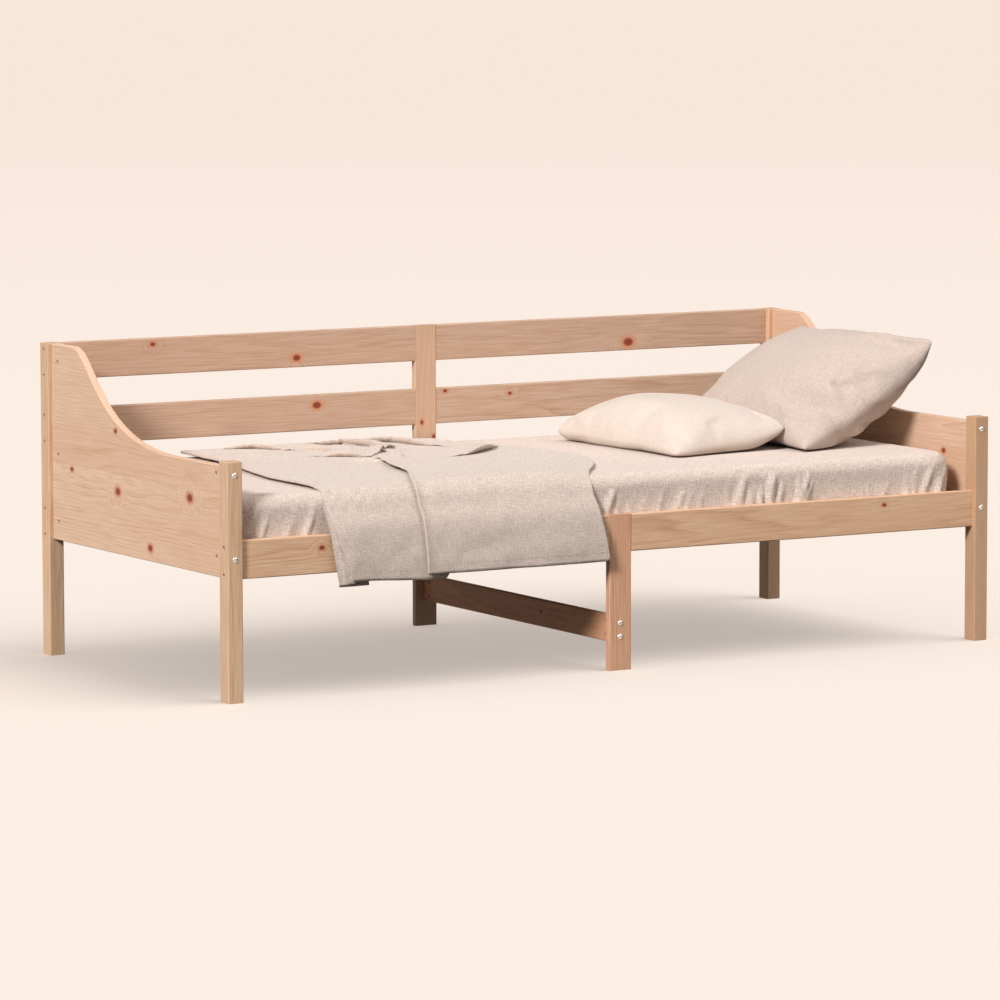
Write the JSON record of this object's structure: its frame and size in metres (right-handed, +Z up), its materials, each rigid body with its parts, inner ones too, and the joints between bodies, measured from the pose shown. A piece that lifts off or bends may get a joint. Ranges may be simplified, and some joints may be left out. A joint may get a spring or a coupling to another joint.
{
  "type": "daybed",
  "caption": "Pine daybed with bolted posts, curved side panels, a slatted base, mattress, fitted sheet, linen throw and pillows.",
  "frame": {"origin": "on the floor, under the middle of the frame", "axes": "+X along the bed towards the pillow end, +Y towards the back that stands against a wall, +Z up"},
  "size_m": [2.07, 0.9644, 0.745],
  "materials": {
    "pine_posts": "planed, unfinished, upright grain",
    "pine_panels": "planed, unfinished, level grain with knots",
    "pine_rails": "planed, unfinished, level grain with knots",
    "pine_slats": "planed, unfinished",
    "beech_dowel": "turned, fluted, unfinished",
    "nickel_bolts": "bright nickel plate",
    "zinc_steel": "zinc plate",
    "webbing": "woven tape",
    "mattress_ticking": "woven ticking",
    "linen_grey": "plain coarse linen weave, washed",
    "cotton_cream": "plain cotton weave, washed"
  },
  "bodies": {
    "root": {"back_post_bolts": "nickel_bolts", "back_rail_low_left": "pine_rails", "back_rail_low_right": "pine_rails", "back_rail_middle_left": "pine_rails", "back_rail_middle_right": "pine_rails", "back_rail_top_left": "pine_rails", "back_rail_top_right": "pine_rails", "fitted_sheet": "linen_grey", "front_post_bolts": "nickel_bolts", "front_rail_left": "pine_rails", "front_rail_right": "pine_rails", "joint_plates": "zinc_steel", "ledger_screws": "zinc_steel", "mattress": "mattress_ticking", "middle_leg_front": "pine_posts", "middle_post_back": "pine_posts", "panel_barrel_nuts": "zinc_steel", "pillow_large": "linen_grey", "pillow_small": "cotton_cream", "plate_screws": "zinc_steel", "post_back_left": "pine_posts", "post_back_right": "pine_posts", "post_front_left": "pine_posts", "post_front_right": "pine_posts", "rail_dowels": "beech_dowel", "rail_screws": "zinc_steel", "side_panel_left": "pine_panels", "side_panel_right": "pine_panels", "slat_01": "pine_slats", "slat_02": "pine_slats", "slat_03": "pine_slats", "slat_04": "pine_slats", "slat_05": "pine_slats", "slat_06": "pine_slats", "slat_07": "pine_slats", "slat_08": "pine_slats", "slat_09": "pine_slats", "slat_10": "pine_slats", "slat_11": "pine_slats", "slat_12": "pine_slats", "slat_13": "pine_slats", "slat_14": "pine_slats", "slat_ledger_back": "pine_slats", "slat_ledger_front": "pine_slats", "slat_screws": "zinc_steel", "slat_tape_back": "webbing", "slat_tape_front": "webbing", "stretcher": "pine_rails", "stretcher_barrel_nuts": "zinc_steel", "stretcher_bolts": "nickel_bolts", "throw_blanket": "linen_grey"}
  },
  "joints": []
}
